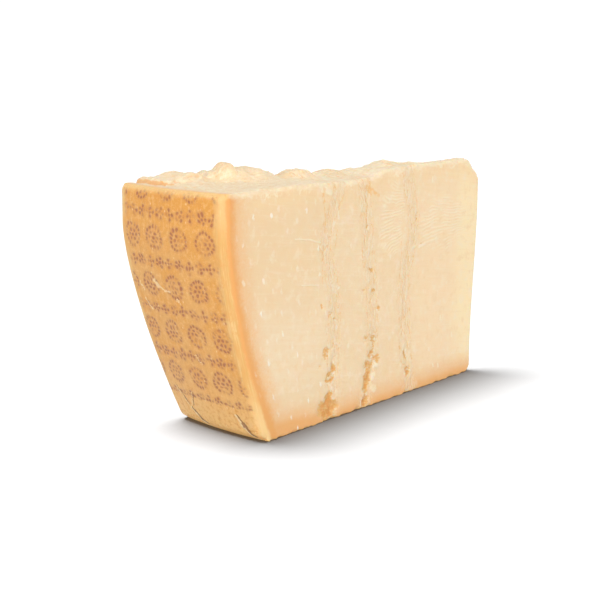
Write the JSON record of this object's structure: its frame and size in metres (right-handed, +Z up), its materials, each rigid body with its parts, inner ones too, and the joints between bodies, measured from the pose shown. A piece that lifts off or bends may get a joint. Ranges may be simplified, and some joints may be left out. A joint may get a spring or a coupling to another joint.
{
  "type": "hard grating cheese chunk",
  "caption": "Wedge-shaped chunk of hard grating cheese that stands on its underside, with rind on the outer end and a broken, craggy top.",
  "frame": {"origin": "middle of the chunk's bounding box, at the flat underside that it stands on", "axes": "+X from the rind to the thin tip, +Z up, -Y towards the cut face that the picture shows"},
  "size_m": [0.2108, 0.0672, 0.1181],
  "materials": {
    "cheese": "satin"
  },
  "bodies": {
    "root": {"cheese_chunk": "cheese"}
  },
  "joints": []
}
